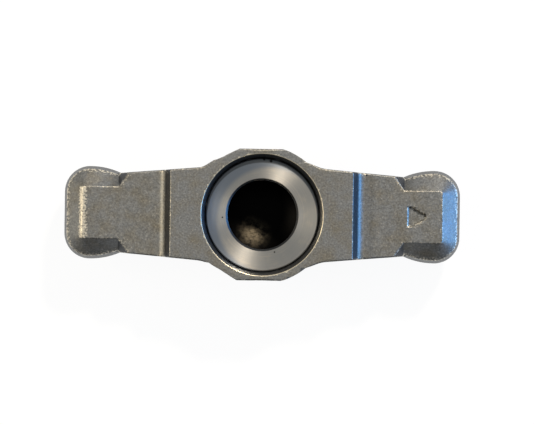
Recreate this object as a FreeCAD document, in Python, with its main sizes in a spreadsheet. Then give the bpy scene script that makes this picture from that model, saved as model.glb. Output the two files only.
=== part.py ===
# Valve bridge of a diesel engine: one forged beam that opens two valves at once,
# with a turned steel cup pressed into its middle for the rocker's foot.
# Millimetres. +Z is up, +X points to the end with the triangle mark.
# The origin is the centre of the flat face under the middle boss.
import FreeCAD, Part
import math
import os

import Sketcher

# Driving sizes: name, value, what it is.
sizes = (
    ("overall_length", 63.2, "from end to end"),
    ("centre_width", 20.9, "width over the flats of the middle"),
    ("flat_length", 8.24, "length of each flat, to its sharp corners"),
    ("waist_length", 18.2, "distance between the corners where flanks meet arms"),
    ("waist_depth", 2.98, "how far those corners lie inside the flats"),
    ("beam_overlap", 1.55, "how far the arm runs on into the pad"),
    ("neck_inset", 1.13, "how far its sides lie inside the pad's widest part there"),
    ("shoulder_radius", 1.5, "rounding at the ends of the flats"),
    ("waist_radius", 5.0, "rounding where flanks run into arms"),
    ("plateau_length", 29.2, "length of the raised middle"),
    ("plateau_height", 15.0, "top of the raised middle above the boss face"),
    ("step_height", 2.0, "drop from the middle to the arm"),
    ("step_lean", 30.0, "degrees, step face off the vertical"),
    ("step_radius", 1.5, "rounding at the foot of the step"),
    ("beam_depth", 9.0, "from the raised middle down to the underside round the boss"),
    ("arch_ledge", 0.8, "level underside next to the boss"),
    ("arch_slope", 6.3, "degrees, rise of the underside from there towards the pad"),
    ("bend_radius", 12.0, "soft bends of the arm's underside"),
    ("boss_inset", 0.25, "how far the round boss stands inside the flats"),
    ("boss_draft", 2.0, "degrees, the boss closes in downwards"),
    ("pad_width", 14.8, "widest part of the pad"),
    ("pad_corner_radius", 4.1, "rounding of the pad's outer corners in plan"),
    ("pad_flank_radius", 12.0, "bulge of the pad's sides in plan"),
    ("pad_drop", 10.0, "from the raised middle down to the pad's underside"),
    ("parting_drop", 7.8, "from the raised middle down to the die line round the pads"),
    ("pad_lower_draft", 3.0, "degrees, below the die line"),
    ("rim_drop", 4.2, "from the raised middle down to the edge between wall and roof"),
    ("pad_upper_draft", 7.5, "degrees, above the die line"),
    ("strip_width", 8.2, "flat strip along the top of the pad"),
    ("strip_setback", 2.95, "from the end of the beam to the strip's end"),
    ("strip_length", 5.8, "from there to the strip's inner corners"),
    ("strip_radius", 0.4, "rounding of the strip's outer corners in plan"),
    ("relief_angle", 35.0, "degrees, arm corners cut back beside the strip"),
    ("relief_lean", 27.0, "degrees, walls of that cut off the vertical"),
    ("rim_wall", 0.6, "thinnest wall between a flat and the cone round the cup"),
    ("cone_width", 0.7, "width of that cone, seen from above"),
    ("joint_gap", 0.2, "open joint between cup and body at the cup's top edge"),
    ("joint_depth", 0.8, "depth of that joint"),
    ("press_clearance", 0.0, "between cup and pocket below the joint"),
    ("cup_length", 11.0, "height of the cup"),
    ("cup_edge", 0.15, "bevel on the cup's outer top edge"),
    ("cup_lead", 0.6, "bevel on the cup's bottom edge"),
    ("cup_recess", 1.3, "cup face below the raised middle"),
    ("socket_diameter", 11.0, "bore for the rocker's foot"),
    ("socket_depth", 6.6, "straight part of the bore, from the cup face"),
    ("socket_chamfer", 0.44, "bevel at the mouth of the bore"),
    ("socket_point_angle", 118.0, "degrees, cone at the bottom of the bore"),
    ("stem_diameter", 7.5, "pocket for a valve stem's tip"),
    ("stem_depth", 3.0, "depth of that pocket"),
    ("stem_wall", 1.25, "wall between that pocket and the end of the beam"),
    ("root_wall", 0.95, "wall between that pocket and the inner side of the pad"),
    ("stem_chamfer", 0.4, "bevel at its mouth"),
    ("mark_setback", 0.55, "from the strip's inner corners to the triangle's base"),
    ("mark_length", 3.0, "base to point"),
    ("mark_width", 3.6, "length of its base"),
    ("mark_depth", 0.3, "how far the triangle is sunk"),
    ("mark_radius", 0.3, "rounding of its corners"),
    ("edge_radius", 0.25, "worn upper edges of the forging"),
    ("under_radius", 0.4, "rounded lower edges of the forging"),
    ("pad_foot_radius", 0.5, "rounded lower edges of the pads"),
    ("rim_radius", 0.12, "broken edge at the wide end of the cone"),
    ("boss_edge", 0.6, "bevel round the boss face"),
)

# Sizes that follow from the driving ones. Distances are from the middle, heights above the boss face.
derived = (
    ("half_length", "=overall_length / 2", "distance of the beam's ends"),
    ("stem_distance", "=half_length - stem_wall - stem_diameter / 2", "distance of a valve stem's axis"),
    ("pad_root", "=stem_distance - stem_diameter / 2 - root_wall", "distance of the pad's inner side"),
    ("beam_end", "=pad_root + beam_overlap", "distance at which the arm ends inside the pad"),
    ("strip_end", "=half_length - strip_setback", "distance of the strip's end"),
    ("strip_root", "=strip_end - strip_length", "distance of the strip's inner corners"),
    ("mark_start", "=strip_root + mark_setback", "distance of the triangle's base"),
    ("waist_width", "=centre_width - 2 * waist_depth", "width where flanks meet arms"),
    ("neck_width", "=pad_width - 2 * neck_inset", "width of the arm's end inside the pad"),
    ("boss_diameter", "=centre_width - 2 * boss_inset", "boss, where it leaves the beam"),
    ("arch_start", "=boss_diameter / 2 + arch_ledge", "distance at which the underside rises"),
    ("rim_diameter", "=centre_width - 2 * rim_wall", "wide end of the cone round the cup"),
    ("cone_diameter", "=rim_diameter - 2 * cone_width", "narrow end of that cone"),
    ("cup_diameter", "=cone_diameter - 2 * joint_gap", "outside of the pressed cup"),
    ("strip_height", "=plateau_height - step_height", "height of the arms and strips"),
    ("rim_height", "=plateau_height - rim_drop", "height of the edge under the pad's roof"),
    ("parting_height", "=plateau_height - parting_drop", "height of the die line"),
    ("arch_root_height", "=plateau_height - beam_depth", "height of the underside round the boss"),
    ("pad_bottom", "=plateau_height - pad_drop", "height of the pad's underside"),
    ("cup_face", "=plateau_height - cup_recess", "height of the cup's ring face"),
    ("cup_bottom", "=cup_face - cup_length", "height of the cup's lower end"),
)

# Room by which a cutting shape reaches past the metal it removes.
margin = 4.0
# Two corners closer than this are the same corner.
same = 0.01

document = FreeCAD.newDocument("valve_bridge")
sheet = document.addObject("Spreadsheet::Sheet", "sizes")
for row, (alias, value, note) in enumerate(sizes + derived, start=1):
    sheet.set(f"A{row}", note)
    sheet.set(f"B{row}", str(value))
    sheet.setAlias(f"B{row}", alias)
document.recompute()


def size(expression):
    """The present value of an expression in the sheet's names."""
    return float(sheet.evalExpression(expression))


def newBody(label):
    """An empty sub-part whose label names its file."""
    body = document.addObject("PartDesign::Body", label)
    body.Label = label
    return body


def originPart(body, role):
    """One of the body's own base planes or axes."""
    return next(item for item in body.Origin.OriginFeatures if item.Role == role)


def newSketch(body, name, role, height=None):
    """A sketch on a base plane of the body, raised to a height."""
    sketch = body.newObject("Sketcher::SketchObject", name)
    sketch.AttachmentSupport = (originPart(body, role), "")
    sketch.MapMode = "FlatFace"
    if height is not None:
        sketch.setExpression("AttachmentOffset.Base.z", height)
    return sketch


def bind(sketch, constraint, expression):
    """Adds a dimension to a sketch and ties it to the sheet."""
    sketch.setExpression(f"Constraints[{sketch.addConstraint(constraint)}]", expression)


def pinPoint(sketch, edge, end, place):
    """Holds a sketch point at a place given by two expressions."""
    across, along = place
    bind(sketch, Sketcher.Constraint("DistanceX", -1, 1, edge, end, size(across)), across)
    bind(sketch, Sketcher.Constraint("DistanceY", -1, 1, edge, end, size(along)), along)


def drawPolygon(sketch, corners):
    """A closed outline with straight sides through corners given as expressions."""
    places = [FreeCAD.Vector(size(across), size(along), 0) for across, along in corners]
    first = len(sketch.Geometry)
    count = len(corners)
    for index in range(count):
        line = Part.LineSegment(places[index], places[(index + 1) % count])
        sketch.addGeometry(line)
    for index in range(count):
        following = first + (index + 1) % count
        sketch.addConstraint(Sketcher.Constraint("Coincident", first + index, 2, following, 1))
    for index, corner in enumerate(corners):
        pinPoint(sketch, first + index, 1, corner)


def mirrored(corners):
    """The same outline on the other side of the sketch's upright axis."""
    return [(f"-({across})", along) for across, along in corners]


def addPad(body, name, sketch, length, taper=None, downwards=False):
    pad = body.newObject("PartDesign::Pad", name)
    pad.Profile = sketch
    pad.Reversed = downwards
    pad.setExpression("Length", length)
    if taper is not None:
        pad.setExpression("TaperAngle", taper)
    document.recompute()
    return pad


# The forged body. Its blank has the beam's outline and hangs from the height of the raised middle.
body = newBody("bridge_body")

blank_outline = newSketch(body, "blank_outline", "XY_Plane", "sizes.plateau_height")
quarter = (
    ("sizes.beam_end", "sizes.neck_width / 2"),
    ("sizes.waist_length / 2", "sizes.waist_width / 2"),
    ("sizes.flat_length / 2", "sizes.centre_width / 2"),
)
upper = list(quarter) + mirrored(reversed(quarter))
lower = [(across, f"-({along})") for across, along in reversed(upper)]
drawPolygon(blank_outline, upper + lower)
blank_depth = "sizes.plateau_height - sizes.arch_root_height"
blank = addPad(body, "blank", blank_outline, blank_depth, downwards=True)


def uprightEdges(shape, corners, height):
    """Names of the straight edges that rise to the given corners at a height."""
    top = size(height)
    places = [FreeCAD.Vector(size(across), size(along), top) for across, along in corners]
    names = []
    for index, edge in enumerate(shape.Edges, start=1):
        ends = sorted((vertex.Point for vertex in edge.Vertexes), key=lambda point: point.z)
        rises = len(ends) == 2 and ends[1].z - ends[0].z > same
        if rises and any(ends[1].distanceToPoint(place) < same for place in places):
            names.append(f"Edge{index}")
    return names


def allFour(corner):
    across, along = corner
    return [(f"{a}({across})", f"{b}({along})") for a in ("", "-") for b in ("", "-")]


def addFillet(body, name, base, edges, radius):
    fillet = body.newObject("PartDesign::Fillet", name)
    fillet.Base = (base, edges)
    fillet.setExpression("Radius", radius)
    document.recompute()
    return fillet


top_height = "sizes.plateau_height"
shoulder_edges = uprightEdges(blank.Shape, allFour(quarter[2]), top_height)
shoulders = addFillet(body, "shoulders", blank, shoulder_edges, "sizes.shoulder_radius")
waist_edges = uprightEdges(shoulders.Shape, allFour(quarter[1]), top_height)
waists = addFillet(body, "waists", shoulders, waist_edges, "sizes.waist_radius")


def addPocket(body, name, sketch, length, taper=None, bothWays=False, upwards=False):
    pocket = body.newObject("PartDesign::Pocket", name)
    pocket.Profile = sketch
    pocket.Midplane = bothWays
    pocket.Reversed = upwards
    pocket.setExpression("Length", length)
    if taper is not None:
        pocket.setExpression("TaperAngle", taper)
    document.recompute()
    return pocket


# The arm tops lie below the raised middle, at the foot of a leaning step.
step_foot = ("sizes.plateau_length / 2 + sizes.step_height * tan(sizes.step_lean)", "sizes.strip_height")
above = f"sizes.plateau_height + {margin}"
arm_top_side = (
    ("sizes.plateau_length / 2", "sizes.plateau_height"),
    step_foot,
    ("sizes.half_length", "sizes.strip_height"),
    ("sizes.half_length", above),
    ("sizes.plateau_length / 2", above),
)
arm_tops = newSketch(body, "arm_tops", "XZ_Plane")
drawPolygon(arm_tops, arm_top_side)
drawPolygon(arm_tops, mirrored(arm_top_side))
whole_width = "2 * sizes.centre_width"
arm_top_cut = addPocket(body, "arm_top_cut", arm_tops, whole_width, bothWays=True)

# The undersides of the arms rise from the boss to the pads.
arch_rise = "(sizes.parting_height - sizes.arch_root_height)"
arch_side = (
    ("sizes.arch_start", "sizes.arch_root_height"),
    (f"sizes.arch_start + {arch_rise} / tan(sizes.arch_slope)", "sizes.parting_height"),
    ("sizes.half_length", "sizes.parting_height"),
    ("sizes.half_length", "0"),
    ("sizes.arch_start", "0"),
)
arches = newSketch(body, "arches", "XZ_Plane")
drawPolygon(arches, arch_side)
drawPolygon(arches, mirrored(arch_side))
arch_cut = addPocket(body, "arch_cut", arches, whole_width, bothWays=True)


def edgesAcross(shape, corner):
    """Names of the edges that cross the beam at a distance from the middle and a height, at both ends."""
    across, along = (size(expression) for expression in corner)
    names = []
    for index, edge in enumerate(shape.Edges, start=1):
        points = [vertex.Point for vertex in edge.Vertexes]
        if all(abs(abs(point.x) - across) < same and abs(point.z - along) < same for point in points):
            names.append(f"Edge{index}")
    return names


step_edges = edgesAcross(arch_cut.Shape, step_foot)
step_feet = addFillet(body, "step_feet", arch_cut, step_edges, "sizes.step_radius")
bend_edges = [name for bend in arch_side[:2] for name in edgesAcross(step_feet.Shape, bend)]
soft_bends = addFillet(body, "soft_bends", step_feet, bend_edges, "sizes.bend_radius")


def outlineEdges(shape, low, high):
    """Names of the edges between two heights, without upright ones.

    Edges that cross the beam are left out too, unless they lie at the upper height.
    """
    bottom, top = size(low), size(high)
    names = []
    for index, edge in enumerate(shape.Edges, start=1):
        points = [vertex.Point for vertex in edge.Vertexes]
        inside = all(bottom - same < point.z < top + same for point in points)
        upright = math.dist((points[0].x, points[0].y), (points[-1].x, points[-1].y)) < same
        crossing = points[0].y * points[-1].y < 0 and min(point.z for point in points) < top - same
        if inside and not upright and not crossing:
            names.append(f"Edge{index}")
    return names


# The forging's worn edges, first along the beam's top outline, then along its underside.
top_edges = outlineEdges(soft_bends.Shape, "sizes.strip_height", "sizes.plateau_height")
worn_top = addFillet(body, "worn_top", soft_bends, top_edges, "sizes.edge_radius")
under_edges = outlineEdges(worn_top.Shape, "sizes.arch_root_height", "sizes.parting_height")
worn_underside = addFillet(body, "worn_underside", worn_top, under_edges, "sizes.under_radius")

# Beside the strip the arm's corners are cut back by walls that lean out.
relief = newSketch(body, "relief", "XY_Plane", "sizes.strip_height")
relief_reach = "(sizes.centre_width - sizes.strip_width / 2)"
relief_side = (
    ("sizes.strip_root", "sizes.strip_width / 2"),
    ("sizes.half_length", "sizes.strip_width / 2"),
    ("sizes.half_length", "sizes.centre_width"),
    (f"sizes.strip_root - {relief_reach} * tan(sizes.relief_angle)", "sizes.centre_width"),
)
drawPolygon(relief, relief_side)
drawPolygon(relief, [(across, f"-({along})") for across, along in relief_side])
relief_depth = "sizes.strip_height - sizes.parting_height"
relief_cut = addPocket(body, "relief_cut", relief, relief_depth, "-sizes.relief_lean")


def addTurned(body, kind, name, sketch):
    """A full turn about the upright axis, adding or cutting."""
    turned = body.newObject(f"PartDesign::{kind}", name)
    turned.Profile = sketch
    turned.ReferenceAxis = (sketch, ["V_Axis"])
    turned.Angle = 360
    document.recompute()


# The round boss under the middle, closing in downwards to a bevelled face.
boss_profile = newSketch(body, "boss_profile", "XZ_Plane")
boss_foot = "sizes.boss_diameter / 2 - sizes.arch_root_height * tan(sizes.boss_draft)"
drawPolygon(boss_profile, (
    ("0", "sizes.arch_root_height"),
    ("0", "0"),
    (f"{boss_foot} - sizes.boss_edge", "0"),
    (boss_foot, "sizes.boss_edge"),
    ("sizes.boss_diameter / 2", "sizes.arch_root_height"),
))
addTurned(body, "Revolution", "boss", boss_profile)


def drawPadOutline(sketch, end, half_width, corner_radius, flank):
    """The plan of one pad: an end face, two rounded corners and two flanks back to the arm.

    The flanks are arcs of the radius given as flank, or straight where it is None.
    """
    lengths = (end, half_width, corner_radius, "sizes.pad_root")
    far, half, corner, root = (size(item) for item in lengths)
    across, along = far - corner, half - corner
    quarter_turn = math.pi / 2

    def drawLine(start_x, start_y, end_x, end_y):
        start, end_point = FreeCAD.Vector(start_x, start_y, 0), FreeCAD.Vector(end_x, end_y, 0)
        sketch.addGeometry(Part.LineSegment(start, end_point))

    def drawArc(centre_y, radius, start_angle, end_angle):
        circle = Part.Circle(FreeCAD.Vector(across, centre_y, 0), FreeCAD.Vector(0, 0, 1), radius)
        sketch.addGeometry(Part.ArcOfCircle(circle, start_angle, end_angle))

    drawLine(far, -along, far, along)
    drawArc(along, corner, 0, quarter_turn)
    if flank is None:
        drawLine(across, half, root, half)
        drawLine(root, half, root, -half)
        drawLine(root, -half, across, -half)
    else:
        bulge = size(flank)
        turn = math.asin((across - root) / bulge)
        root_half = half - bulge + bulge * math.cos(turn)
        drawArc(half - bulge, bulge, quarter_turn, quarter_turn + turn)
        drawLine(root, root_half, root, -root_half)
        drawArc(bulge - half, bulge, -quarter_turn - turn, -quarter_turn)
    drawArc(-along, corner, -quarter_turn, 0)
    end_face, top_corner, top_flank, inner, low_flank, low_corner = range(6)
    rule = Sketcher.Constraint
    sketch.addConstraint(rule("Vertical", end_face))
    sketch.addConstraint(rule("Vertical", inner))
    sketch.addConstraint(rule("Tangent", end_face, 2, top_corner, 1))
    sketch.addConstraint(rule("Tangent", low_corner, 2, end_face, 1))
    sketch.addConstraint(rule("Tangent", top_corner, 2, top_flank, 1))
    sketch.addConstraint(rule("Tangent", low_flank, 2, low_corner, 1))
    sketch.addConstraint(rule("Coincident", top_flank, 2, inner, 1))
    sketch.addConstraint(rule("Coincident", inner, 2, low_flank, 1))
    bind(sketch, rule("DistanceX", -1, 1, end_face, 1, far), end)
    bind(sketch, rule("DistanceX", -1, 1, inner, 1, root), "sizes.pad_root")
    for arc in (top_corner, low_corner):
        bind(sketch, rule("Radius", arc, corner), corner_radius)
    bind(sketch, rule("DistanceY", -1, 1, top_corner, 3, along), f"{half_width} - ({corner_radius})")
    bind(sketch, rule("DistanceY", low_corner, 3, -1, 1, along), f"{half_width} - ({corner_radius})")
    if flank is None:
        sketch.addConstraint(rule("Horizontal", top_flank))
        sketch.addConstraint(rule("Horizontal", low_flank))
    else:
        for arc in (top_flank, low_flank):
            bind(sketch, rule("Radius", arc, size(flank)), flank)
        sketch.addConstraint(rule("Vertical", top_corner, 3, top_flank, 3))
        sketch.addConstraint(rule("Vertical", low_corner, 3, low_flank, 3))


# One pad stands on the die line, closes in downwards to its underside and upwards to its rim.
half_pad = "sizes.pad_width / 2"
corner_radius, flank_radius = "sizes.pad_corner_radius", "sizes.pad_flank_radius"
pad_outline = newSketch(body, "pad_outline", "XY_Plane", "sizes.parting_height")
drawPadOutline(pad_outline, "sizes.half_length", half_pad, corner_radius, flank_radius)
depth_below = "sizes.parting_height - sizes.pad_bottom"
pad_lower = addPad(body, "pad_lower", pad_outline, depth_below, "-sizes.pad_lower_draft", downwards=True)
height_above = "sizes.rim_height - sizes.parting_height"
pad_upper = addPad(body, "pad_upper", pad_outline, height_above, "-sizes.pad_upper_draft")

# The roof runs from the rim up to the flat strip.
rim_inset = f"({height_above}) * tan(sizes.pad_upper_draft)"
rim_outline = newSketch(body, "rim_outline", "XY_Plane", "sizes.rim_height")
drawPadOutline(rim_outline, f"sizes.half_length - {rim_inset}", f"{half_pad} - {rim_inset}",
               f"{corner_radius} - {rim_inset}", f"{flank_radius} - {rim_inset}")
strip_outline = newSketch(body, "strip_outline", "XY_Plane", "sizes.strip_height")
drawPadOutline(strip_outline, "sizes.strip_end", "sizes.strip_width / 2", "sizes.strip_radius", None)
document.recompute()
pad_roof = body.newObject("PartDesign::AdditiveLoft", "pad_roof")
pad_roof.Profile = rim_outline
pad_roof.Sections = [strip_outline]
pad_roof.Ruled = True
document.recompute()

both_ends = body.newObject("PartDesign::Mirrored", "both_ends")
both_ends.Originals = [relief_cut, pad_lower, pad_upper, pad_roof]
both_ends.MirrorPlane = (originPart(body, "YZ_Plane"), [""])
body.Tip = both_ends
document.recompute()


# The stepped bore for the cup: an open cone, the joint round the cup's edge, then the press seat.
cup_radius = "sizes.cup_diameter / 2"
seat_radius = f"{cup_radius} + sizes.press_clearance"
cone_foot = "sizes.cone_diameter / 2"
joint_floor = "sizes.cup_face - sizes.joint_depth"
bore_profile = newSketch(body, "bore_profile", "XZ_Plane")
drawPolygon(bore_profile, (
    ("0", above),
    ("sizes.rim_diameter / 2", above),
    ("sizes.rim_diameter / 2", "sizes.plateau_height"),
    (cone_foot, "sizes.cup_face"),
    (cone_foot, joint_floor),
    (seat_radius, joint_floor),
    (seat_radius, "sizes.cup_bottom"),
    ("0", "sizes.cup_bottom"),
))
addTurned(body, "Groove", "cup_seat", bore_profile)

# A pocket under each pad takes the tip of a valve stem.
stem_circles = newSketch(body, "stem_circles", "XY_Plane", "sizes.pad_bottom")
stem_diameter = size("sizes.stem_diameter")
for index, side in enumerate((1, -1)):
    centre = FreeCAD.Vector(side * size("sizes.stem_distance"), 0, 0)
    stem_circles.addGeometry(Part.Circle(centre, FreeCAD.Vector(0, 0, 1), stem_diameter / 2))
    across_circle = Sketcher.Constraint("Diameter", index, stem_diameter)
    bind(stem_circles, across_circle, "sizes.stem_diameter")
    pinPoint(stem_circles, index, 3, (f"{side} * sizes.stem_distance", "0"))
addPocket(body, "stem_pockets", stem_circles, "sizes.stem_depth", upwards=True)

# The sunken triangle points to the end of the beam.
mark_outline = newSketch(body, "mark_outline", "XY_Plane", "sizes.strip_height")
mark_corners = (
    ("sizes.mark_start", "sizes.mark_width / 2"),
    ("sizes.mark_start + sizes.mark_length", "0"),
    ("sizes.mark_start", "-sizes.mark_width / 2"),
)
drawPolygon(mark_outline, mark_corners)
mark_cut = addPocket(body, "mark_cut", mark_outline, "sizes.mark_depth")
mark_edges = uprightEdges(mark_cut.Shape, mark_corners, "sizes.strip_height")
mark = addFillet(body, "mark", mark_cut, mark_edges, "sizes.mark_radius")


def crestEdges(shape):
    """Names of the edges round the strips, down the cut-back corners and along the pad rims."""
    crest, rim = size("sizes.strip_height"), size("sizes.rim_height")
    beside = size("sizes.strip_width / 2 - sizes.strip_radius") - same
    root, middle = size("sizes.strip_root") - same, size("sizes.plateau_length / 2")
    names = []
    for index, edge in enumerate(shape.Edges, start=1):
        points = [vertex.Point for vertex in edge.Vertexes]
        low, high = min(point.z for point in points), max(point.z for point in points)
        on_crest = low > crest - same and max(abs(point.x) for point in points) > root
        on_crest = on_crest and min(abs(point.y) for point in points) > beside
        on_rim = rim - same < low and high < rim + same
        down_relief = low < rim - same and high > rim + same and abs(points[0].x) > middle
        if high < crest + same and (on_crest or on_rim or down_relief):
            names.append(f"Edge{index}")
    return names


def circlesAt(shape, height, diameter):
    """Names of the circular edges of a diameter at a height."""
    level, length = size(height), math.pi * size(diameter)
    names = []
    for index, edge in enumerate(shape.Edges, start=1):
        at_height = edge.isClosed() and abs(edge.Vertexes[0].Point.z - level) < same
        if at_height and abs(edge.Length - length) < same:
            names.append(f"Edge{index}")
    return names


worn_crests = addFillet(body, "worn_crests", mark, crestEdges(mark.Shape), "sizes.edge_radius")
foot_edges = outlineEdges(worn_crests.Shape, "sizes.pad_bottom", "sizes.pad_bottom")
pad_feet = addFillet(body, "pad_feet", worn_crests, foot_edges, "sizes.pad_foot_radius")
rim_edges = circlesAt(pad_feet.Shape, "sizes.plateau_height", "sizes.rim_diameter")
broken_rim = addFillet(body, "broken_rim", pad_feet, rim_edges, "sizes.rim_radius")
stem_mouths = body.newObject("PartDesign::Chamfer", "stem_mouths")
stem_mouths.Base = (broken_rim, circlesAt(broken_rim.Shape, "sizes.pad_bottom", "sizes.stem_diameter"))
stem_mouths.setExpression("Size", "sizes.stem_chamfer")
body.Tip = stem_mouths
document.recompute()

# The cup: a turned blank with a bevelled mouth and a bore that ends in the drill's cone.
cup = newBody("socket_cup")
socket_radius = "sizes.socket_diameter / 2"
socket_floor = "sizes.cup_face - sizes.socket_depth"
cup_profile = newSketch(cup, "cup_profile", "XZ_Plane")
drawPolygon(cup_profile, (
    ("0", "sizes.cup_bottom"),
    (f"{cup_radius} - sizes.cup_lead", "sizes.cup_bottom"),
    (cup_radius, "sizes.cup_bottom + sizes.cup_lead"),
    (cup_radius, "sizes.cup_face - sizes.cup_edge"),
    (f"{cup_radius} - sizes.cup_edge", "sizes.cup_face"),
    (f"{socket_radius} + sizes.socket_chamfer", "sizes.cup_face"),
    (socket_radius, "sizes.cup_face - sizes.socket_chamfer"),
    (socket_radius, socket_floor),
    ("0", f"{socket_floor} - {socket_radius} / tan(sizes.socket_point_angle / 2)"),
))
addTurned(cup, "Revolution", "cup_turned", cup_profile)

# Nothing is written unless every step of the model worked.
failed = [item.Name for item in document.Objects if {"Invalid", "Error"} & set(item.State)]
if failed:
    raise RuntimeError("these steps failed: " + ", ".join(failed))
os.makedirs("parts", exist_ok=True)
for part in (body, cup):
    if part.Shape.isNull() or not part.Shape.isValid() or len(part.Shape.Solids) != 1:
        raise RuntimeError(part.Label + " is not one sound solid")
for part in (body, cup):
    part.Shape.exportStep(os.path.join("parts", part.Label + ".step"))
    print(part.Label, round(part.Shape.Volume), "cubic mm")
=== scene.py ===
import math

import bmesh
import bpy
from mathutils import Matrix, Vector


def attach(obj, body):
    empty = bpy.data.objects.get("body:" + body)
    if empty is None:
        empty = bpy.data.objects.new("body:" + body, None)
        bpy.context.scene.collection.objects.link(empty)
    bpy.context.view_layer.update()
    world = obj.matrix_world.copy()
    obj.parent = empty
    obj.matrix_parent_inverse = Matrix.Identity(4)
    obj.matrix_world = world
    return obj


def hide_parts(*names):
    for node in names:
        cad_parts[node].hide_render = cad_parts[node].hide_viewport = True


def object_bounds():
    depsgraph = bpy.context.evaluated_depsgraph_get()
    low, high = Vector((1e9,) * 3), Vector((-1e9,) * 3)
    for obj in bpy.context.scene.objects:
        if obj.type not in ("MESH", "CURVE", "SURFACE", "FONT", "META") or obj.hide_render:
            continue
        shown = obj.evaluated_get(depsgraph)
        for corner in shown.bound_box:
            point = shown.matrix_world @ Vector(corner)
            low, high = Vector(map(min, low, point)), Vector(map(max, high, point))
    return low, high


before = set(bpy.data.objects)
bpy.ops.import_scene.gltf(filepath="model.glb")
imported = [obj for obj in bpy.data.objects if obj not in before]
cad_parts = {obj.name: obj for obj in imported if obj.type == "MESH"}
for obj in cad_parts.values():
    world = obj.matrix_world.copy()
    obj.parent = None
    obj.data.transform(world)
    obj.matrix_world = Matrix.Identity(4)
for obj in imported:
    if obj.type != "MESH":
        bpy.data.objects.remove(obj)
cadBox = [list(corner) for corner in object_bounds()]
mm = 0.001
print("frame loaded")


# Small tools


def hexColour(code):
    # sRGB hex to the linear values that shaders work in
    def linear(pair):
        value = int(pair, 16) / 255
        return value / 12.92 if value <= 0.04045 else ((value + 0.055) / 1.055) ** 2.4

    return (linear(code[1:3]), linear(code[3:5]), linear(code[5:7]), 1.0)


def addNode(tree, kind, settings=None, links=None):
    # settings name properties, or inputs by name or number; links name inputs and what feeds them
    node = tree.nodes.new(kind)
    for name, value in (settings or {}).items():
        if isinstance(name, str) and hasattr(node, name):
            setattr(node, name, value)
        else:
            node.inputs[name].default_value = value
    for name, source in (links or {}).items():
        tree.links.new(source, node.inputs[name])
    return node


def newMaterial(name):
    material = bpy.data.materials.new(name)
    material.use_nodes = True
    material.node_tree.nodes.clear()
    return material, material.node_tree


def finishMaterial(tree, settings, links):
    shader = addNode(tree, "ShaderNodeBsdfPrincipled", settings, links)
    addNode(tree, "ShaderNodeOutputMaterial", links={"Surface": shader.outputs[0]})


def nearAny(tree, where, spots):
    # 1 inside any of the spots, 0 outside, with a soft edge
    found = None
    for place, radius in spots:
        centre = tuple(value * mm for value in place)
        away = addNode(tree, "ShaderNodeVectorMath", {"operation": "DISTANCE", 1: centre}, {0: where})
        spot = addNode(tree, "ShaderNodeMapRange", {"From Min": 0.5 * radius * mm, "From Max": radius * mm,
                                                    "To Min": 1.0, "To Max": 0.0}, {"Value": away.outputs["Value"]})
        if found is None:
            found = spot.outputs[0]
        else:
            found = addNode(tree, "ShaderNodeMath", {"operation": "MAXIMUM"}, {0: found, 1: spot.outputs[0]}).outputs[0]
    return found


def addObject(name, mesh):
    thing = bpy.data.objects.new(name, mesh)
    bpy.context.scene.collection.objects.link(thing)
    return thing


# Camera: straight above, turned by the little that the beam leans in the picture

view = {
    "distance": 900 * mm,
    "pictureWidth": 85.6 * mm,  # what the picture spans at the height below
    "atHeight": 7.2 * mm,
    "roll": math.radians(0.84),
    "slideX": 0.85 * mm,
    "slideY": 0.37 * mm,
}


def makeCamera():
    data = bpy.data.cameras.new("camera")
    camera = addObject("camera", data)
    camera.location = (view["slideX"], view["slideY"], view["atHeight"] + view["distance"])
    camera.rotation_euler = (0, 0, view["roll"])
    data.sensor_width = 36.0
    data.lens = data.sensor_width * view["distance"] / view["pictureWidth"]
    data.clip_start = 0.01
    data.clip_end = 20.0
    bpy.context.scene.camera = camera


makeCamera()
bpy.context.scene.view_settings.view_transform = "Standard"
print("camera set")


# Studio: white floor, key light from the upper right, cool panel right, warm panel left

studio = {
    "floorSize": 6.0,
    "floorLevel": -0.03 * mm,  # just clear of the boss's face, so the two don't share a plane
    "floorColour": "#ffffff",
    "floorGlow": 0.93,  # share of the floor's white that no shadow darkens
    "skyColour": "#cacac8",
    "leftColour": "#b4aea2",
    "rightColour": "#8ea6c6",
    "worldStrength": 0.82,
    "keyAzimuth": 66.0,  # degrees from the beam's axis, anticlockwise from above
    "keyElevation": 45.0,
    "keyStrength": 2.9,
    "keySpread": 6.0,  # degrees, how wide the key light looks
    "keyColour": "#fff0dc",
    "panels": [
        {"name": "cool panel", "colour": "#5299e0", "power": 5.7, "place": (0.7, 0.0, 0.15), "size": (0.5, 0.34)},
        {"name": "warm panel", "colour": "#ffeed2", "power": 2.6, "place": (-0.6, 0.06, 0.46), "size": (0.4, 0.12)},
    ],
    "flagColour": "#0c0e10",
    "flagSize": (1.2, 0.4),
    "flagDistance": 0.28,
}


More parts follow.
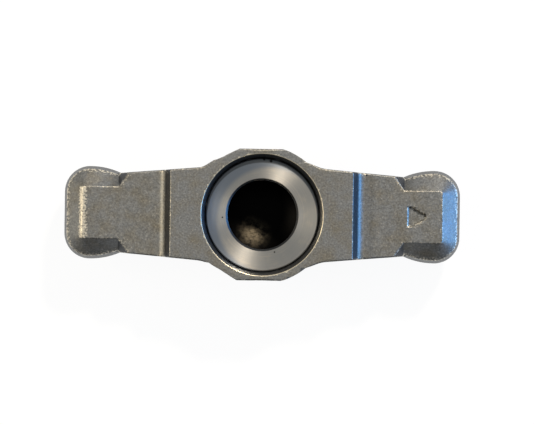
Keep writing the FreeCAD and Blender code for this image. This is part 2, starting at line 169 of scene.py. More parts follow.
def makeFloor():
    mesh = bpy.data.meshes.new("floor")
    half, level = studio["floorSize"] / 2, studio["floorLevel"]
    corners = [(-half, -half, level), (half, -half, level), (half, half, level), (-half, half, level)]
    mesh.from_pydata(corners, [], [(0, 1, 2, 3)])
    floor = addObject("floor", mesh)
    material, tree = newMaterial("matt white floor")
    path = addNode(tree, "ShaderNodeLightPath")
    seen = addNode(tree, "ShaderNodeMath", {"operation": "MAXIMUM"},
                   {0: path.outputs["Is Camera Ray"], 1: path.outputs["Is Glossy Ray"]})
    seen = addNode(tree, "ShaderNodeMath", {"operation": "MAXIMUM"},
                   {0: seen.outputs[0], 1: path.outputs["Is Transmission Ray"]})
    share = addNode(tree, "ShaderNodeMath", {"operation": "MULTIPLY", 1: studio["floorGlow"]},
                    {0: seen.outputs[0]})
    paint = addNode(tree, "ShaderNodeBsdfDiffuse", {"Color": hexColour(studio["floorColour"])})
    glow = addNode(tree, "ShaderNodeEmission", {"Color": (1, 1, 1, 1), "Strength": 1.0})
    mix = addNode(tree, "ShaderNodeMixShader", links={0: share.outputs[0], 1: paint.outputs[0], 2: glow.outputs[0]})
    addNode(tree, "ShaderNodeOutputMaterial", links={"Surface": mix.outputs[0]})
    mesh.materials.append(material)


def makeWorld():
    world = bpy.data.worlds.new("studio")
    bpy.context.scene.world = world
    world.use_nodes = True
    tree = world.node_tree
    tree.nodes.clear()
    direction = addNode(tree, "ShaderNodeTexCoord")
    axes = addNode(tree, "ShaderNodeSeparateXYZ", links={0: direction.outputs["Generated"]})
    across = addNode(tree, "ShaderNodeMapRange", {"From Min": -0.8, "From Max": 0.8}, {"Value": axes.outputs["X"]})
    sides = addNode(tree, "ShaderNodeMix", {"data_type": "RGBA", 6: hexColour(studio["leftColour"]),
                                            7: hexColour(studio["rightColour"])}, {0: across.outputs[0]})
    rise = addNode(tree, "ShaderNodeMapRange", {"From Min": 0.1, "From Max": 0.9}, {"Value": axes.outputs["Z"]})
    sky = addNode(tree, "ShaderNodeMix", {"data_type": "RGBA", 7: hexColour(studio["skyColour"])},
                  {0: rise.outputs[0], 6: sides.outputs[2]})
    light = addNode(tree, "ShaderNodeBackground", {"Strength": studio["worldStrength"]},
                    {"Color": sky.outputs[2]})
    addNode(tree, "ShaderNodeOutputWorld", links={"Surface": light.outputs[0]})


def makeFlag():
    # A black card in front of the beam keeps its near slopes dark; only reflections show it
    width, height = studio["flagSize"]
    mesh = bpy.data.meshes.new("flag")
    near, half = -studio["flagDistance"], width / 2
    corners = [(-half, near, 0), (half, near, 0), (half, near, height), (-half, near, height)]
    mesh.from_pydata(corners, [], [(0, 1, 2, 3)])
    flag = addObject("flag", mesh)
    material, tree = newMaterial("black card")
    finishMaterial(tree, {"Base Color": hexColour(studio["flagColour"]), "Roughness": 1.0}, {})
    mesh.materials.append(material)
    flag.visible_camera = False
    flag.visible_shadow = False
    flag.visible_diffuse = False


def makeKey():
    data = bpy.data.lights.new("key", "SUN")
    data.energy = studio["keyStrength"]
    data.angle = math.radians(studio["keySpread"])
    data.color = hexColour(studio["keyColour"])[:3]
    key = addObject("key", data)
    azimuth, elevation = math.radians(studio["keyAzimuth"]), math.radians(studio["keyElevation"])
    flat = math.cos(elevation)
    source = Vector((flat * math.cos(azimuth), flat * math.sin(azimuth), math.sin(elevation)))
    key.rotation_euler = source.to_track_quat("Z", "Y").to_euler()


def makePanel(given):
    data = bpy.data.lights.new(given["name"], "AREA")
    data.shape = "RECTANGLE"
    data.size, data.size_y = given["size"]
    data.energy = given["power"]
    data.color = hexColour(given["colour"])[:3]
    panel = addObject(given["name"], data)
    panel.location = given["place"]
    panel.rotation_euler = Vector(given["place"]).to_track_quat("Z", "Y").to_euler()


makeFloor()
makeWorld()
makeFlag()
makeKey()
for given in studio["panels"]:
    makePanel(given)
print("studio lit")


# Materials

forgedLook = {
    "metal": "#808282",
    "brown": "#7d7a71",
    # painted shade: the colour that steep walls are darkened towards
    "scale": "#36383c",
    # bright colour of edge wear and of painted edge highlights
    "worn": "#d6d0c0",
    "grain": 0.3,  # mm; the pits of blasting are about 0.1 mm, drawn coarser so that they show
    "mottle": 2.6,  # mm
    "roughness": 0.48,
    "bump": 0.05 * mm,
    "shadeBandPlace": 17.35 * mm,  # painted shade: a darker band across the marked arm, where a shallow groove is shaded
    "shadeBandReach": 0.75 * mm,
    "shadeBandDepth": 0.17,
    "chips": [((10.7, -3.7, 14.5), 0.28), ((-22.4, 3.3, 12.5), 0.2)],  # mm, small bright chips: place, radius
}


def makeForgedSteel():
    # Drop forged steel, shot blasted and tumbled: matt grey grain, painted shade darkening the steep walls,
    # bright metal where edges rubbed, mixed with painted edge highlights
    material, tree = newMaterial("shot blasted forged steel")
    where = addNode(tree, "ShaderNodeTexCoord").outputs["Object"]
    grain = addNode(tree, "ShaderNodeTexNoise", {"Scale": 1 / (forgedLook["grain"] * mm), "Detail": 3.0,
                                                 "Roughness": 0.65}, {"Vector": where})
    mottle = addNode(tree, "ShaderNodeTexNoise", {"Scale": 1 / (forgedLook["mottle"] * mm), "Detail": 4.0,
                                                  "Roughness": 0.6}, {"Vector": where})
    tint = addNode(tree, "ShaderNodeMapRange", {"From Min": 0.4, "From Max": 0.7},
                   {"Value": mottle.outputs["Fac"]})
    base = addNode(tree, "ShaderNodeMix", {"data_type": "RGBA", 6: hexColour(forgedLook["metal"]),
                                           7: hexColour(forgedLook["brown"])}, {0: tint.outputs[0]})
    speck = addNode(tree, "ShaderNodeMapRange", {"From Min": 0.3, "From Max": 0.7, "To Min": 0.7, "To Max": 1.3},
                    {"Value": grain.outputs["Fac"]})
    # painted shade: a darker band across the marked arm
    along = addNode(tree, "ShaderNodeSeparateXYZ", links={0: where}).outputs["X"]
    aside = addNode(tree, "ShaderNodeMath", {"operation": "SUBTRACT", 1: forgedLook["shadeBandPlace"]}, {0: along})
    aside = addNode(tree, "ShaderNodeMath", {"operation": "ABSOLUTE"}, {0: aside.outputs[0]})
    band = addNode(tree, "ShaderNodeMapRange", {"interpolation_type": "SMOOTHSTEP", "From Max": forgedLook["shadeBandReach"],
                                                "To Min": 1.0 - forgedLook["shadeBandDepth"], "To Max": 1.0},
                   {"Value": aside.outputs[0]})
    shade = addNode(tree, "ShaderNodeMath", {"operation": "MULTIPLY"}, {0: speck.outputs[0], 1: band.outputs[0]})
    grained = addNode(tree, "ShaderNodeVectorMath", {"operation": "SCALE"},
                      {0: base.outputs[2], "Scale": shade.outputs[0]})
    # painted shade: sloped and steep walls are darkened by their slope alone
    normal = addNode(tree, "ShaderNodeNewGeometry").outputs["Normal"]
    upward = addNode(tree, "ShaderNodeSeparateXYZ", links={0: normal}).outputs["Z"]
    leaning = addNode(tree, "ShaderNodeMapRange", {"interpolation_type": "SMOOTHSTEP", "From Min": 0.5,
                                                   "From Max": 0.8, "To Min": 0.85, "To Max": 0.0},
                      {"Value": upward})
    rising = addNode(tree, "ShaderNodeMapRange", {"interpolation_type": "SMOOTHSTEP", "From Min": 0.2,
                                                  "From Max": 0.4, "To Min": 0.65}, {"Value": upward})
    steep = addNode(tree, "ShaderNodeMath", {"operation": "MULTIPLY"},
                    {0: leaning.outputs[0], 1: rising.outputs[0]})
    steepShaded = addNode(tree, "ShaderNodeMix", {"data_type": "RGBA", 7: hexColour(forgedLook["scale"])},
                     {0: steep.outputs[0], 6: grained.outputs[0]})
    # edge wear with painted highlight on edges, the pads' rim line and the crest, plus real chips
    wearAndHighlight = addNode(tree, "ShaderNodeAttribute", {"attribute_name": "wearAndHighlight"}).outputs["Fac"]
    chips = nearAny(tree, where, forgedLook["chips"])
    brightMarks = addNode(tree, "ShaderNodeMath", {"operation": "MAXIMUM"}, {0: wearAndHighlight, 1: chips})
    peaks = addNode(tree, "ShaderNodeMapRange", {"From Min": 0.3, "From Max": 0.7}, {"Value": grain.outputs["Fac"]})
    total = addNode(tree, "ShaderNodeMath", {"operation": "MULTIPLY_ADD", 1: 0.8},
                    {0: brightMarks.outputs[0], 2: peaks.outputs[0]})
    worn = addNode(tree, "ShaderNodeMapRange", {"From Min": 0.9, "From Max": 1.35}, {"Value": total.outputs[0]})
    colour = addNode(tree, "ShaderNodeMix", {"data_type": "RGBA", 7: hexColour(forgedLook["worn"])},
                     {0: worn.outputs[0], 6: steepShaded.outputs[2]})
    rough = addNode(tree, "ShaderNodeMapRange", {"To Min": forgedLook["roughness"] - 0.08,
                                                 "To Max": forgedLook["roughness"] + 0.1},
                    {"Value": grain.outputs["Fac"]})
    bump = addNode(tree, "ShaderNodeBump", {"Strength": 0.45, "Distance": forgedLook["bump"]},
                   {"Height": grain.outputs["Fac"]})
    finishMaterial(tree, {"Metallic": 1.0},
                   {"Base Color": colour.outputs[2], "Roughness": rough.outputs[0], "Normal": bump.outputs[0]})
    return material


boredLook = {
    "metal": "#77797b",
    "dark": "#4f5154",
    "rim": "#e4dcc6",  # painted highlight on the seat's rim, above the height below
    "rimHeight": 14.85 * mm,
    "pitch": 0.2,  # mm
    "acrossScale": 40.0,  # the pattern hardly changes along a ring
    "roughness": 0.36,
}


def makeBoredSteel():
    # Bored steel: the tool leaves fine rings about the bore's axis; the seat's rim is painted bright as a highlight
    material, tree = newMaterial("bored steel")
    where = addNode(tree, "ShaderNodeTexCoord").outputs["Object"]
    across = boredLook["acrossScale"]
    stretched = addNode(tree, "ShaderNodeMapping", {"Scale": (across, across, 1 / (boredLook["pitch"] * mm))},
                        {"Vector": where})
    rings = addNode(tree, "ShaderNodeTexNoise", {"Scale": 1.0, "Detail": 2.0}, {"Vector": stretched.outputs[0]})
    colour = addNode(tree, "ShaderNodeMix", {"data_type": "RGBA", 6: hexColour(boredLook["dark"]),
                                             7: hexColour(boredLook["metal"])}, {0: rings.outputs["Fac"]})
    height = addNode(tree, "ShaderNodeSeparateXYZ", links={0: where}).outputs["Z"]
    # painted highlight: everything above the rim height is drawn bright
    top = addNode(tree, "ShaderNodeMath", {"operation": "GREATER_THAN", 1: boredLook["rimHeight"]}, {0: height})
    brightened = addNode(tree, "ShaderNodeMix", {"data_type": "RGBA", 7: hexColour(boredLook["rim"])},
                     {0: top.outputs[0], 6: colour.outputs[2]})
    finishMaterial(tree, {"Metallic": 1.0, "Roughness": boredLook["roughness"]},
                   {"Base Color": brightened.outputs[2]})
    return material


turnedLook = {
    "metal": "#b9b4aa",
    "cool": "#979b9e",
    # a darker, bluer outer zone of the face; along the top edge it is painted shadow of the rim
    "outerToneAndShadow": "#868d96",
    "rimShadow": "#595d61",  # painted shadow of the rim: a dark crescent along the far edge, outside the circle below
    "rimShadowCentre": (0.0, -0.45 * mm, 13.7 * mm),
    "rimShadowRadius": 8.72 * mm,
    "speck": "#1c1c1c",
    "outerShadowCentre": (1.3 * mm, -0.9 * mm, 13.7 * mm),
    "outerShadowFrom": 7.9 * mm,
    "outerShadowFull": 8.9 * mm,
    "pitch": 0.12,  # mm; about as coarse as real facing rings need to be to show
    "mottle": 1.6,  # mm
    "roughness": 0.36,
    "anisotropy": 0.8,
    "specks": [((2.05, -5.9, 13.7), 0.16), ((-6.3, -0.5, 13.7), 0.16), ((1.3, 8.55, 13.7), 0.3),
               ((0.2, 8.8, 13.7), 0.25)],  # mm, small dark pits: place, radius
}


def makeTurnedSteel():
    # Hardened steel with a fine faced surface: rings about the axis that fan a lamp out into two streaks; painted
    # shadow of the rim darkens its top edge
    material, tree = newMaterial("faced hardened steel")
    where = addNode(tree, "ShaderNodeTexCoord").outputs["Object"]
    flat = addNode(tree, "ShaderNodeVectorMath", {"operation": "MULTIPLY", 1: (1.0, 1.0, 0.0)}, {0: where})
    radius = addNode(tree, "ShaderNodeVectorMath", {"operation": "LENGTH"}, {0: flat.outputs[0]})
    along = addNode(tree, "ShaderNodeMath", {"operation": "MULTIPLY", 1: 1 / (turnedLook["pitch"] * mm)},
                    {0: radius.outputs["Value"]})
    rings = addNode(tree, "ShaderNodeTexNoise", {"noise_dimensions": "1D", "Scale": 1.0, "Detail": 3.0},
                    {"W": along.outputs[0]})
    stain = addNode(tree, "ShaderNodeTexNoise", {"Scale": 1 / (turnedLook["mottle"] * mm), "Detail": 4.0},
                    {"Vector": where})
    mixed = addNode(tree, "ShaderNodeMath", {"operation": "ADD", "use_clamp": True},
                    {0: rings.outputs["Fac"], 1: stain.outputs["Fac"]})
    share = addNode(tree, "ShaderNodeMapRange", {"From Min": 0.7, "From Max": 1.3}, {"Value": mixed.outputs[0]})
    colour = addNode(tree, "ShaderNodeMix", {"data_type": "RGBA", 6: hexColour(turnedLook["metal"]),
                                             7: hexColour(turnedLook["cool"])}, {0: share.outputs[0]})
    # painted shadow of the rim along the face's top edge, inside a darker outer zone centred off the axis
    away = addNode(tree, "ShaderNodeVectorMath", {"operation": "DISTANCE", 1: turnedLook["outerShadowCentre"]}, {0: where})
    zone = addNode(tree, "ShaderNodeMapRange", {"interpolation_type": "SMOOTHSTEP",
                                                "From Min": turnedLook["outerShadowFrom"],
                                                "From Max": turnedLook["outerShadowFull"]},
                   {"Value": away.outputs["Value"]})
    withOuterShadow = addNode(tree, "ShaderNodeMix", {"data_type": "RGBA", 7: hexColour(turnedLook["outerToneAndShadow"])},
                       {0: zone.outputs[0], 6: colour.outputs[2]})
    # painted shadow: the rim's shadow on the face, drawn as a dark crescent
    beyond = addNode(tree, "ShaderNodeVectorMath", {"operation": "DISTANCE", 1: turnedLook["rimShadowCentre"]},
                     {0: where})
    crescent = addNode(tree, "ShaderNodeMapRange", {"From Min": turnedLook["rimShadowRadius"] - 0.08 * mm,
                                                    "From Max": turnedLook["rimShadowRadius"] + 0.08 * mm},
                       {"Value": beyond.outputs["Value"]})
    rimShadow = addNode(tree, "ShaderNodeMix", {"data_type": "RGBA", 7: hexColour(turnedLook["rimShadow"])},
                    {0: crescent.outputs[0], 6: withOuterShadow.outputs[2]})
    pits = nearAny(tree, where, turnedLook["specks"])
    pitted = addNode(tree, "ShaderNodeMix", {"data_type": "RGBA", 7: hexColour(turnedLook["speck"])},
                     {0: pits, 6: rimShadow.outputs[2]})
    around = addNode(tree, "ShaderNodeTangent", {"direction_type": "RADIAL", "axis": "Z"})
    finishMaterial(tree, {"Metallic": 1.0, "Roughness": turnedLook["roughness"],
                          "Anisotropic": turnedLook["anisotropy"], "Anisotropic Rotation": 0.25},
                   {"Base Color": pitted.outputs[2], "Tangent": around.outputs[0]})
    return material


boreLook = {
    # painted shade: the deep bore drawn near black
    "black": "#0a0a0a",
    # painted light: the lit patch on the bottom
    "brown": "#454036",
    "roughness": 0.45,
    "litPatchCentre": (-1.4 * mm, -3.1 * mm, 5.6 * mm),
    "litPatchCore": 0.4 * mm,
    "litPatchReach": 3.2 * mm,
    "cloud": 1.1,  # mm
}


def makeSocketBore():
    # Drilled bore, painted near black as painted shade of the deep hole, with a brown pool of painted light at the
    # bottom
    material, tree = newMaterial("bore with painted shade and light")
    where = addNode(tree, "ShaderNodeTexCoord").outputs["Object"]
    # painted light: a cloudy brown patch near the bottom, fading with distance from its centre
    away = addNode(tree, "ShaderNodeVectorMath", {"operation": "DISTANCE", 1: boreLook["litPatchCentre"]},
                   {0: where})
    cloud = addNode(tree, "ShaderNodeTexNoise", {"Scale": 1 / (boreLook["cloud"] * mm), "Detail": 5.0,
                                                 "Roughness": 0.7}, {"Vector": where})
    stain = addNode(tree, "ShaderNodeMapRange", {"From Min": 0.38, "From Max": 0.62}, {"Value": cloud.outputs["Fac"]})
    near = addNode(tree, "ShaderNodeMapRange", {"From Min": boreLook["litPatchCore"],
                                                "From Max": boreLook["litPatchReach"], "To Min": 1.0,
                                                "To Max": 0.0}, {"Value": away.outputs["Value"]})
    brightened = addNode(tree, "ShaderNodeMath", {"operation": "MULTIPLY", "use_clamp": True},
                     {0: near.outputs[0], 1: stain.outputs[0]})
    colour = addNode(tree, "ShaderNodeMix", {"data_type": "RGBA", 6: hexColour(boreLook["black"]),
                                             7: hexColour(boreLook["brown"])}, {0: brightened.outputs[0]})
    finishMaterial(tree, {"Metallic": 1.0, "Roughness": boreLook["roughness"]}, {"Base Color": colour.outputs[2]})
    return material


forgedSteel = makeForgedSteel()
boredSteel = makeBoredSteel()
turnedSteel = makeTurnedSteel()
socketBore = makeSocketBore()
print("materials made")


# The forged beam: a copy of the solid, divided finely and given its blasted skin

beam = {
    "pitch": 0.5 * mm,
    "quickPitch": 3.0 * mm,
    "grainDepth": 0.03 * mm,
    "grainSize": 0.7 * mm,
    "waveDepth": 0.05 * mm,
    "waveSize": 4.0 * mm,
    "seed": 3.0,
    "smoothAngle": math.radians(38),
    "bossFace": 0.62 * mm,  # the boss is machined up to here
}

# What is machined in the forging: the cup's seat and the pockets for the valve stems
seat = {"inner": 9.2 * mm, "rimRadius": 9.98 * mm, "floor": 2.65 * mm}
stem = {"distance": 26.6 * mm, "mouthRadius": 4.17 * mm, "top": 8.05 * mm}

# Where the beam is painted bright: tumbling wear with painted highlight on outer corners, and painted highlight on a
# line round the pads and on the crest at the plain end
brightened = {
    "from": 21.9 * mm,
    "rimHeight": 10.8 * mm,
    "rimBand": 0.55 * mm,
    "padRimHighlight": 0.85,
    "crestPlace": -28.5 * mm,
    "crestBand": 0.85 * mm,
    "crestHalf": 4.1 * mm,
    "crestLow": 12.2 * mm,
    "crestGain": 1.9,
    "bendFrom": math.radians(8),  # outer corners sharper than this are painted bright, as wear with painted highlight, fully so at the next
    "bendFull": math.radians(22),
    "bendShare": 0.7,  # the rest is taken from the corners beside it
}


def mergedCopy(node):
    work = bmesh.new()
    work.from_mesh(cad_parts[node].data)
    bmesh.ops.remove_doubles(work, verts=work.verts, dist=0.001 * mm)
    return work


def cutAcross(work, faces, axis, places):
    # Cuts faces along level planes, from the middle plane outwards, so each face is looked at a few times only
    if not places or not faces:
        return
    middle = len(places) // 2
    place = places[middle]
    below, above, crossed = [], [], []
    for face in faces:
        ends = [vert.co[axis] for vert in face.verts]
        if max(ends) <= place + 0.001 * mm:
            below.append(face)
        elif min(ends) >= place - 0.001 * mm:
            above.append(face)
        else:
            crossed.append(face)
    if crossed:
        pieces = set(crossed)
        for face in crossed:
            pieces.update(face.edges)
            pieces.update(face.verts)
        origin, normal = Vector(), Vector()
        origin[axis], normal[axis] = place, 1.0
        result = bmesh.ops.bisect_plane(work, geom=list(pieces), dist=0.0005 * mm, plane_co=origin, plane_no=normal)
        for piece in result["geom"]:
            if isinstance(piece, bmesh.types.BMFace):
                side = below if piece.calc_center_median()[axis] < place else above
                side.append(piece)
    cutAcross(work, below, axis, places[:middle])
    cutAcross(work, above, axis, places[middle + 1:])


def divideFaces(work, pitch):
    # Level faces become one outline first, then a grid of planes cuts them into even squares
    bmesh.ops.dissolve_limit(work, angle_limit=math.radians(0.2), verts=work.verts, edges=work.edges)
    for axis in range(3):
        low, high = cadBox[0][axis], cadBox[1][axis]
        places = [low + pitch * (step + 0.45) for step in range(int((high - low) / pitch))]
        cutAcross(work, list(work.faces), axis, places)
    bmesh.ops.triangulate(work, faces=[face for face in work.faces if len(face.verts) > 3])


def isMachined(place):
    inSeat = math.hypot(place.x, place.y) < seat["rimRadius"] and place.z > seat["floor"]
    inStem = math.hypot(abs(place.x) - stem["distance"], place.y) < stem["mouthRadius"] and place.z < stem["top"]
    return inSeat or inStem or place.z < beam["bossFace"]


def markWearAndHighlight(work, mesh):
    # Sharp outer corners are painted bright, as tumbling wear together with painted edge highlight; the band round the
    # pads and the crest at the plain end are painted highlight
    bend = [0.0] * len(work.verts)
    for edge in work.edges:
        angle = edge.calc_face_angle_signed(0.0)
        if angle > brightened["bendFrom"]:
            for vert in edge.verts:
                bend[vert.index] = max(bend[vert.index], min(1.0, angle / brightened["bendFull"]))
    soft = list(bend)
    for vert in work.verts:
        near = [bend[edge.other_vert(vert).index] for edge in vert.link_edges]
        share = brightened["bendShare"]
        soft[vert.index] = share * bend[vert.index] + (1.0 - share) * sum(near) / len(near)
        place = vert.co
        if abs(place.x) > brightened["from"]:
            band = 1.0 - abs(place.z - brightened["rimHeight"]) / brightened["rimBand"]
            soft[vert.index] = max(soft[vert.index], brightened["padRimHighlight"] * band)
        ahead = 1.0 - abs(place.x - brightened["crestPlace"]) / brightened["crestBand"]
        if abs(place.y) < brightened["crestHalf"] and place.z > brightened["crestLow"]:
            soft[vert.index] = max(soft[vert.index], min(1.0, brightened["crestGain"] * ahead))
    wearAndHighlight = mesh.attributes.new("wearAndHighlight", "FLOAT", "POINT")
    wearAndHighlight.data.foreach_set("value", soft)


def socketOf(tree, name):
    return next(item.identifier for item in tree.interface.items_tree
                if item.in_out == "INPUT" and item.name == name)


def makeSkinTree():
    tree = bpy.data.node_groups.new("blasted skin", "GeometryNodeTree")
    tree.interface.new_socket("Geometry", in_out="INPUT", socket_type="NodeSocketGeometry")
    for name in ("Grain depth", "Grain size", "Wave depth", "Wave size", "Seed"):
        tree.interface.new_socket(name, in_out="INPUT", socket_type="NodeSocketFloat")
    tree.interface.new_socket("Geometry", in_out="OUTPUT", socket_type="NodeSocketGeometry")
    given = addNode(tree, "NodeGroupInput").outputs
    place = addNode(tree, "GeometryNodeInputPosition").outputs[0]
    heights = []
    for depth, size in (("Grain depth", "Grain size"), ("Wave depth", "Wave size")):
        scale = addNode(tree, "ShaderNodeMath", {"operation": "DIVIDE", 0: 1.0}, {1: given[size]})
        noise = addNode(tree, "ShaderNodeTexNoise", {"noise_dimensions": "4D", "Detail": 2.0},
                        {"Vector": place, "W": given["Seed"], "Scale": scale.outputs[0]})
        centred = addNode(tree, "ShaderNodeMath", {"operation": "SUBTRACT", 1: 0.5}, {0: noise.outputs["Fac"]})
        heights.append(addNode(tree, "ShaderNodeMath", {"operation": "MULTIPLY"},
                               {0: centred.outputs[0], 1: given[depth]}).outputs[0])
    height = addNode(tree, "ShaderNodeMath", {"operation": "ADD"}, {0: heights[0], 1: heights[1]})
    forged = addNode(tree, "GeometryNodeInputNamedAttribute", {"data_type": "FLOAT", "Name": "forged"})
    masked = addNode(tree, "ShaderNodeMath", {"operation": "MULTIPLY"},
                     {0: height.outputs[0], 1: forged.outputs[0]})
    normal = addNode(tree, "GeometryNodeInputNormal").outputs[0]
    offset = addNode(tree, "ShaderNodeVectorMath", {"operation": "SCALE"},
                     {0: normal, "Scale": masked.outputs[0]})
    moved = addNode(tree, "GeometryNodeSetPosition", links={"Geometry": given["Geometry"],
                                                            "Offset": offset.outputs[0]})
    whole = addNode(tree, "GeometryNodeRealizeInstances", links={0: moved.outputs[0]})
    skin = addNode(tree, "GeometryNodeSetMaterial", {"Material": forgedSteel}, {"Geometry": whole.outputs[0]})
    machined = addNode(tree, "GeometryNodeInputNamedAttribute", {"data_type": "BOOLEAN", "Name": "machined"})
    bored = addNode(tree, "GeometryNodeSetMaterial", {"Material": boredSteel},
                    {"Geometry": skin.outputs[0], "Selection": machined.outputs[0]})
    addNode(tree, "NodeGroupOutput", links={0: bored.outputs[0]})
    return tree


def plainResult(thing, name):
    # The evaluated mesh takes the place of the object's own mesh and modifiers
    graph = bpy.context.evaluated_depsgraph_get()
    mesh = bpy.data.meshes.new_from_object(thing.evaluated_get(graph))
    thing.modifiers.clear()
    thing.data = mesh
    mesh.name = name
    return thing


# Where this forging strays from the plain shape: the marked arm's step stands further in, the four
# shoulders are rounder, one of them is swollen, and the rim round the cup is a little tighter
strays = {
    "arm": [(10.5 * mm, 0.0), (13.5 * mm, -0.2 * mm), (22.5 * mm, -0.25 * mm), (26.0 * mm, 0.0)],
    "armFrom": 8.4 * mm,
    "armFull": 10.0 * mm,
    "shoulders": [  # which side across, then how far out the wall may stand at places along the beam, in mm
        (0, [(2.4, 11.3), (3.4, 10.93), (7.2, 10.9), (9.2, 11.9)]),
        (1, [(-8.0, 11.7), (-7.4, 11.35), (-6.4, 11.08), (-5.0, 11.02), (-3.9, 11.05), (-3.0, 11.3)]),
        (-1, [(-9.6, 12.3), (-8.5, 11.4), (-6.6, 10.95), (-5.4, 10.95), (-4.5, 11.05), (-3.0, 11.3)]),
    ],
    "swellPlace": -7.4 * mm,
    "swellReach": 2.3 * mm,
    "swellFrom": 6.8 * mm,
    "swellDepth": 0.33 * mm,
    "rimRadius": 9.87 * mm,
    "rimReach": 0.7 * mm,
    "rimPull": 0.15 * mm,
}


def alongTable(table, at):
    if at <= table[0][0]:
        return table[0][1]
    for (low, first), (high, second) in zip(table, table[1:]):
        if at <= high:
            return first + (second - first) * (at - low) / (high - low)
    return table[-1][1]


def stray(place):
    radius = math.hypot(place.x, place.y)
    if place.z > 13.4 * mm and radius > seat["inner"]:
        pull = strays["rimPull"] * max(0.0, 1.0 - abs(radius - strays["rimRadius"]) / strays["rimReach"])
        place.xy *= 1.0 - pull / radius
    swell = 1.0 - ((place.x - strays["swellPlace"]) / strays["swellReach"]) ** 2
    outward = min(1.0, (radius - strays["rimRadius"]) / mm)
    if swell > 0.0 and outward > 0.0 and place.y > strays["swellFrom"]:
        place.y += strays["swellDepth"] * swell * outward * min(1.0, (place.y - strays["swellFrom"]) / mm)
    for side, table in strays["shoulders"]:
        if table[0][0] < place.x / mm < table[-1][0] and side * place.y >= 0.0:
            limit = alongTable(table, place.x / mm) * mm
            place.xy *= min(1.0, limit / max(limit, place.xy.length))
    rise = (place.z - strays["armFrom"]) / (strays["armFull"] - strays["armFrom"])
    place.x += alongTable(strays["arm"], place.x) * min(1.0, max(0.0, rise))


def makeBeam():
    work = mergedCopy("bridge_body")
    divideFaces(work, beam["pitch"])
    work.verts.index_update()
    machined = [isMachined(face.calc_center_median()) for face in work.faces]
    forged = [0.0 if any(machined[face.index] for face in vert.link_faces) else 1.0 for vert in work.verts]
    for vert in work.verts:
        stray(vert.co)
    mesh = bpy.data.meshes.new("forged beam")
    work.to_mesh(mesh)
    markWearAndHighlight(work, mesh)
    work.free()
    mesh.attributes.new("forged", "FLOAT", "POINT").data.foreach_set("value", forged)
    mesh.attributes.new("machined", "BOOLEAN", "FACE").data.foreach_set("value", machined)
    thing = addObject("forgedBeam", mesh)
    tree = makeSkinTree()
    modifier = thing.modifiers.new("blasted skin", "NODES")
    modifier.node_group = tree
    for name, value in (("Grain depth", beam["grainDepth"]), ("Grain size", beam["grainSize"]),
                        ("Wave depth", beam["waveDepth"]), ("Wave size", beam["waveSize"]),
                        ("Seed", beam["seed"])):
        modifier[socketOf(tree, name)] = value
    plainResult(thing, "forged beam")
    thing.data.shade_smooth()
    thing.data.set_sharp_from_angle(angle=beam["smoothAngle"])
    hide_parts("bridge_body")
    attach(thing, "root")
    print("beam dressed,", len(thing.data.polygons), "triangles")


makeBeam()


# The cup: a profile turned about the axis, with the tool's rings on its face

cup = {
    "bottom": 2.7 * mm,
    "face": 13.7 * mm,
    "outerRadius": 8.95 * mm,
    "lead": 0.6 * mm,
    "edge": 0.15 * mm,
    "boreRadius": 5.5 * mm,
    "mouthBevel": 0.3 * mm,
    "boreFloor": 7.1 * mm,
    "coneTip": 3.795 * mm,
    "segments": 192,
    "ringPitch": 0.16 * mm,
    "ringDepth": 0.004 * mm,
    "stepsPerRing": 4,
}


def cupProfile():
    outer, bore, face = cup["outerRadius"], cup["boreRadius"], cup["face"]
    low = [(outer - cup["lead"], cup["bottom"]), (outer, cup["bottom"] + cup["lead"]), (outer, face - cup["edge"])]
    start, stop = outer - cup["edge"], bore + cup["mouthBevel"]
    count = math.ceil((start - stop) / cup["ringPitch"] * cup["stepsPerRing"])
    ring = [(start + (stop - start) * step / count, face) for step in range(count + 1)]
    inside = [(bore, face - cup["mouthBevel"]), (bore, cup["boreFloor"])]
    return low + ring + inside


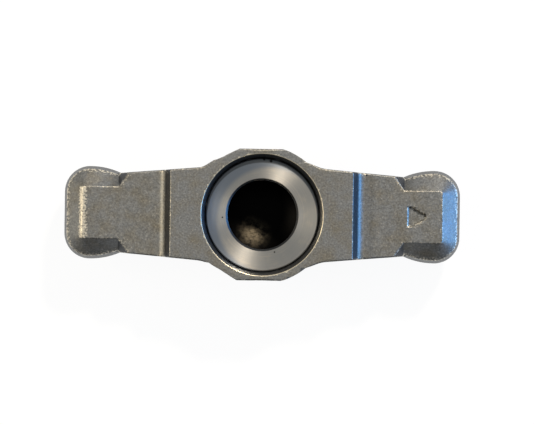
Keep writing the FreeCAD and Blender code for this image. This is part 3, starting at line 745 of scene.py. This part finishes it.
def makeRingTree():
    tree = bpy.data.node_groups.new("facing rings", "GeometryNodeTree")
    tree.interface.new_socket("Geometry", in_out="INPUT", socket_type="NodeSocketGeometry")
    for name in ("Ring pitch", "Ring depth", "Inner radius", "Outer radius", "Face height"):
        tree.interface.new_socket(name, in_out="INPUT", socket_type="NodeSocketFloat")
    tree.interface.new_socket("Geometry", in_out="OUTPUT", socket_type="NodeSocketGeometry")
    given = addNode(tree, "NodeGroupInput").outputs
    place = addNode(tree, "GeometryNodeInputPosition").outputs[0]
    flat = addNode(tree, "ShaderNodeVectorMath", {"operation": "MULTIPLY", 1: (1.0, 1.0, 0.0)}, {0: place})
    radius = addNode(tree, "ShaderNodeVectorMath", {"operation": "LENGTH"}, {0: flat.outputs[0]}).outputs["Value"]
    height = addNode(tree, "ShaderNodeSeparateXYZ", links={0: place}).outputs["Z"]
    turns = addNode(tree, "ShaderNodeMath", {"operation": "DIVIDE"}, {0: radius, 1: given["Ring pitch"]})
    phase = addNode(tree, "ShaderNodeMath", {"operation": "MULTIPLY", 1: math.tau}, {0: turns.outputs[0]})
    wave = addNode(tree, "ShaderNodeMath", {"operation": "SINE"}, {0: phase.outputs[0]})
    depth = addNode(tree, "ShaderNodeMath", {"operation": "MULTIPLY"}, {0: wave.outputs[0], 1: given["Ring depth"]})
    offset = addNode(tree, "ShaderNodeCombineXYZ", links={"Z": depth.outputs[0]})
    outside = addNode(tree, "FunctionNodeCompare", {"data_type": "FLOAT", "operation": "LESS_THAN"},
                      {0: radius, 1: given["Outer radius"]})
    inside = addNode(tree, "FunctionNodeCompare", {"data_type": "FLOAT", "operation": "GREATER_THAN"},
                     {0: radius, 1: given["Inner radius"]})
    level = addNode(tree, "FunctionNodeCompare", {"data_type": "FLOAT", "operation": "GREATER_EQUAL"},
                    {0: height, 1: given["Face height"]})
    band = addNode(tree, "FunctionNodeBooleanMath", {"operation": "AND"}, {0: outside.outputs[0], 1: inside.outputs[0]})
    onFace = addNode(tree, "FunctionNodeBooleanMath", {"operation": "AND"}, {0: band.outputs[0], 1: level.outputs[0]})
    cut = addNode(tree, "GeometryNodeSetPosition", links={"Geometry": given["Geometry"],
                                                          "Selection": onFace.outputs[0],
                                                          "Offset": offset.outputs[0]})
    whole = addNode(tree, "GeometryNodeRealizeInstances", links={0: cut.outputs[0]})
    faced = addNode(tree, "GeometryNodeSetMaterial", {"Material": turnedSteel}, {"Geometry": whole.outputs[0]})
    bored = addNode(tree, "GeometryNodeInputNamedAttribute", {"data_type": "BOOLEAN", "Name": "bored"})
    dark = addNode(tree, "GeometryNodeSetMaterial", {"Material": socketBore},
                   {"Geometry": faced.outputs[0], "Selection": bored.outputs[0]})
    bevelled = addNode(tree, "GeometryNodeInputNamedAttribute", {"data_type": "BOOLEAN", "Name": "bevelled"})
    mouth = addNode(tree, "GeometryNodeSetMaterial", {"Material": boredSteel},
                    {"Geometry": dark.outputs[0], "Selection": bevelled.outputs[0]})
    addNode(tree, "NodeGroupOutput", links={0: mouth.outputs[0]})
    return tree


def makeCup():
    work = bmesh.new()
    bottom = work.verts.new((0, 0, cup["bottom"]))
    tip = work.verts.new((0, 0, cup["coneTip"]))
    rings = []
    for radius, height in cupProfile():
        angles = (math.tau * step / cup["segments"] for step in range(cup["segments"]))
        rings.append([work.verts.new((radius * math.cos(a), radius * math.sin(a), height)) for a in angles])
    for here, there in zip(rings, rings[1:]):
        for step in range(cup["segments"]):
            after = (step + 1) % cup["segments"]
            work.faces.new((here[step], here[after], there[after], there[step]))
    for step in range(cup["segments"]):
        after = (step + 1) % cup["segments"]
        work.faces.new((bottom, rings[0][after], rings[0][step]))
        work.faces.new((tip, rings[-1][step], rings[-1][after]))
    bmesh.ops.recalc_face_normals(work, faces=work.faces)
    mesh = bpy.data.meshes.new("socket cup")
    limit = cup["face"] - 0.9 * cup["mouthBevel"]
    bored, bevelled = [], []
    for face in work.faces:
        centre = face.calc_center_median()
        near = math.hypot(centre.x, centre.y) < cup["boreRadius"] + cup["mouthBevel"]
        bevelled.append(near and limit <= centre.z < cup["face"] - 0.2 * cup["mouthBevel"])
        bored.append(math.hypot(centre.x, centre.y) < cup["boreRadius"] + 0.01 * mm and centre.z > cup["bottom"] + mm
                     and centre.z < limit)
    work.to_mesh(mesh)
    work.free()
    mesh.attributes.new("bored", "BOOLEAN", "FACE").data.foreach_set("value", bored)
    mesh.attributes.new("bevelled", "BOOLEAN", "FACE").data.foreach_set("value", bevelled)
    thing = addObject("turnedCup", mesh)
    tree = makeRingTree()
    modifier = thing.modifiers.new("facing rings", "NODES")
    modifier.node_group = tree
    for name, value in (("Ring pitch", cup["ringPitch"]), ("Ring depth", cup["ringDepth"]),
                        ("Inner radius", cup["boreRadius"] + cup["mouthBevel"] + 0.05 * mm),
                        ("Outer radius", cup["outerRadius"] - cup["edge"] - 0.05 * mm),
                        ("Face height", cup["face"] - 0.01 * mm)):
        modifier[socketOf(tree, name)] = value
    plainResult(thing, "socket cup")
    thing.data.shade_smooth()
    thing.data.set_sharp_from_angle(angle=math.radians(30))
    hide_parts("socket_cup")
    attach(thing, "root")
    print("cup turned,", len(thing.data.polygons), "faces")


makeCup()
